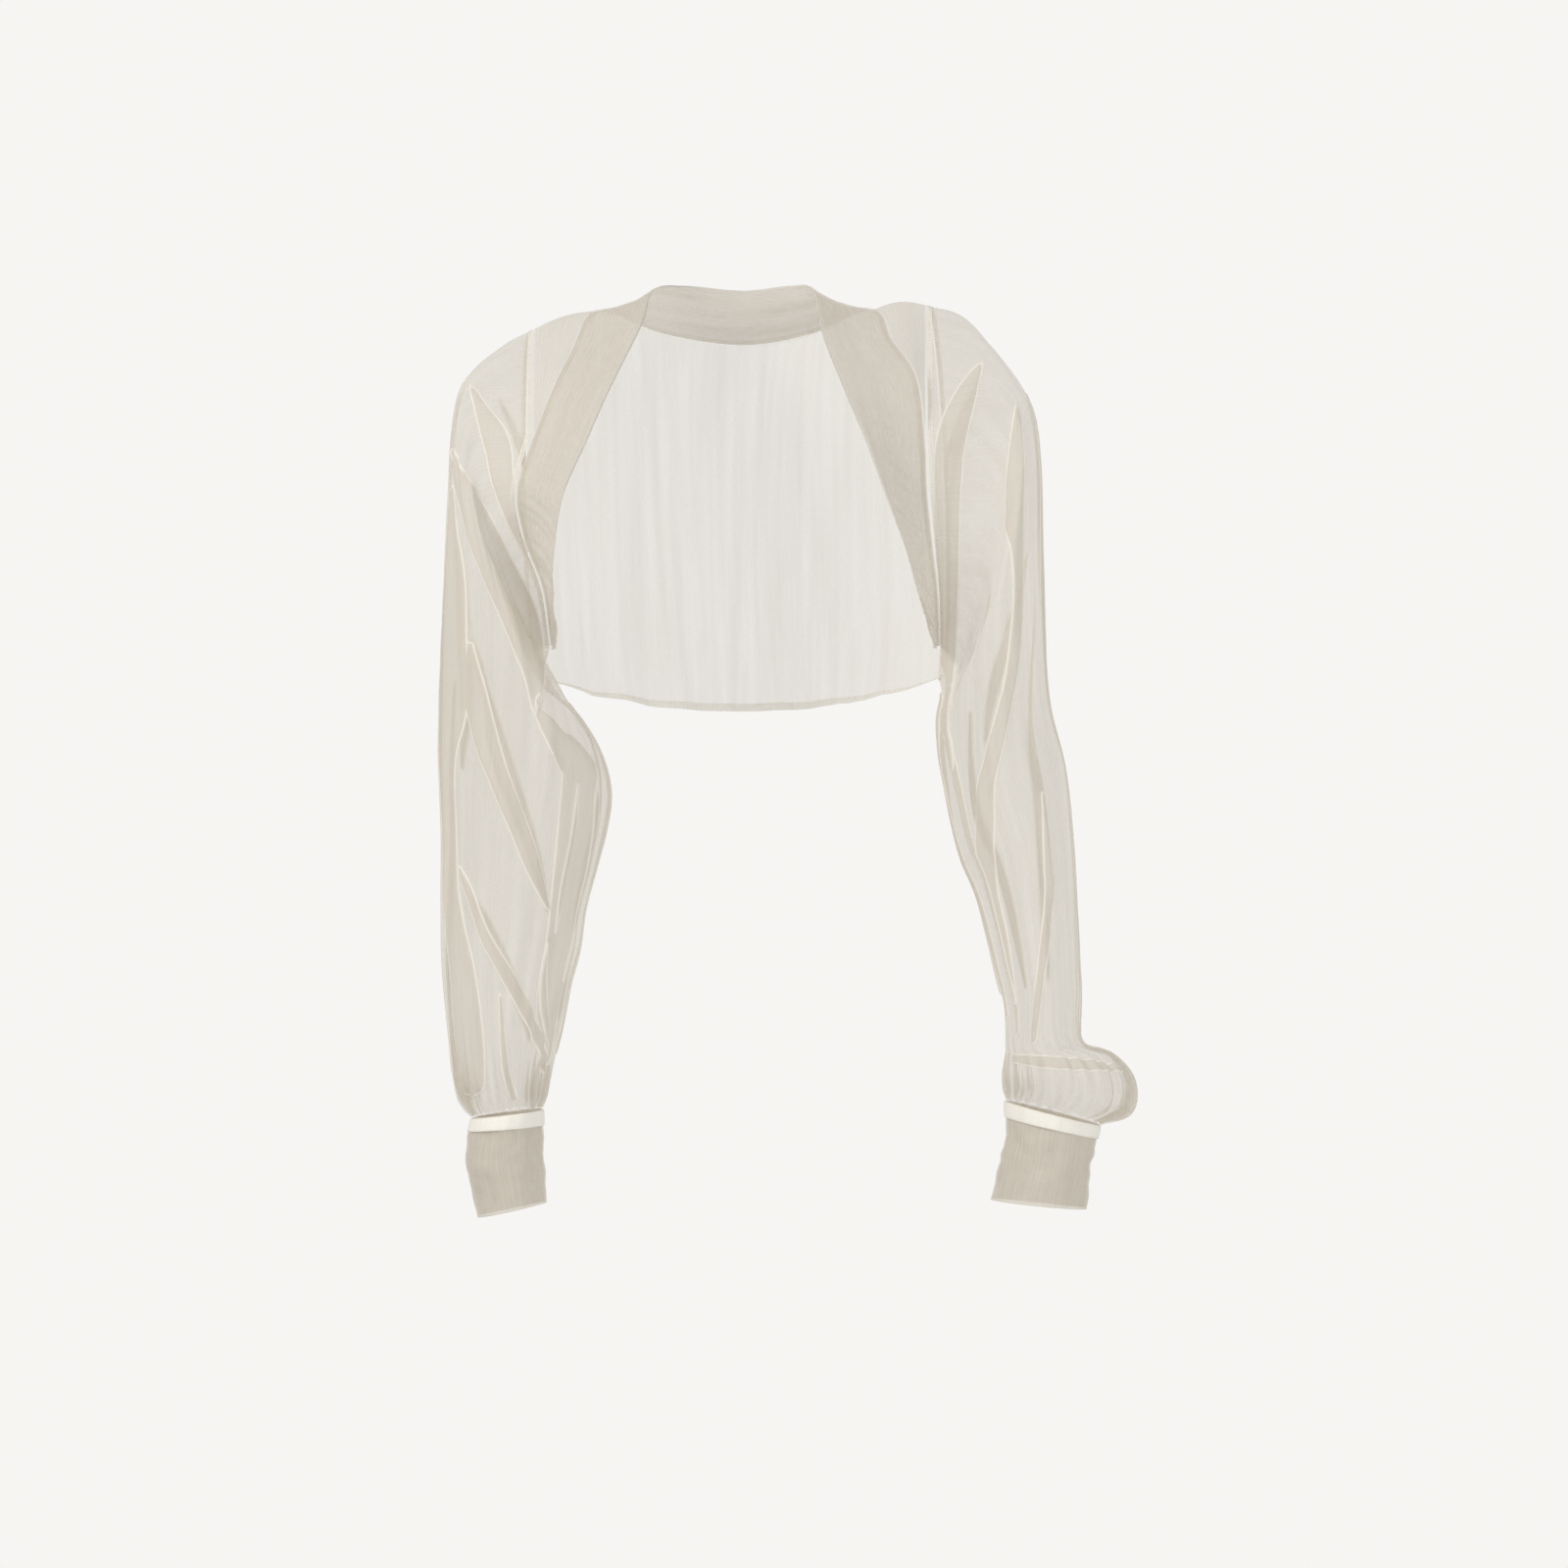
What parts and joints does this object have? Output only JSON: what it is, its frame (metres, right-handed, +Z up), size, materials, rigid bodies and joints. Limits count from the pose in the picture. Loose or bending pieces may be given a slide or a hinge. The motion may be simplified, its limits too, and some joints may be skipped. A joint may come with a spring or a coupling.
{
  "type": "bolero jacket",
  "caption": "Cropped open-front jacket of sheer ivory cloth with full gathered sleeves, a doubled neck band and deep cuffs, in its worn shape.",
  "frame": {"origin": "middle of the neck opening at shoulder height, where the wearer's shoulders hold the jacket", "axes": "+Z up, -Y to the front, +X to the wearer's left"},
  "size_m": [0.5185, 0.21, 0.6959],
  "materials": {
    "chiffon": "sheer ivory chiffon, matt with a faint sheen",
    "doubled_chiffon": "the same chiffon doubled, so denser",
    "binding": "opaque cream binding"
  },
  "bodies": {
    "root": {"back": "chiffon", "front_right": "chiffon", "front_left": "chiffon", "sleeve_right": "chiffon", "sleeve_left": "chiffon", "neck_band": "doubled_chiffon", "cuff_right": "doubled_chiffon", "cuff_left": "doubled_chiffon", "cuff_binding_right": "binding", "cuff_binding_left": "binding"}
  },
  "joints": []
}
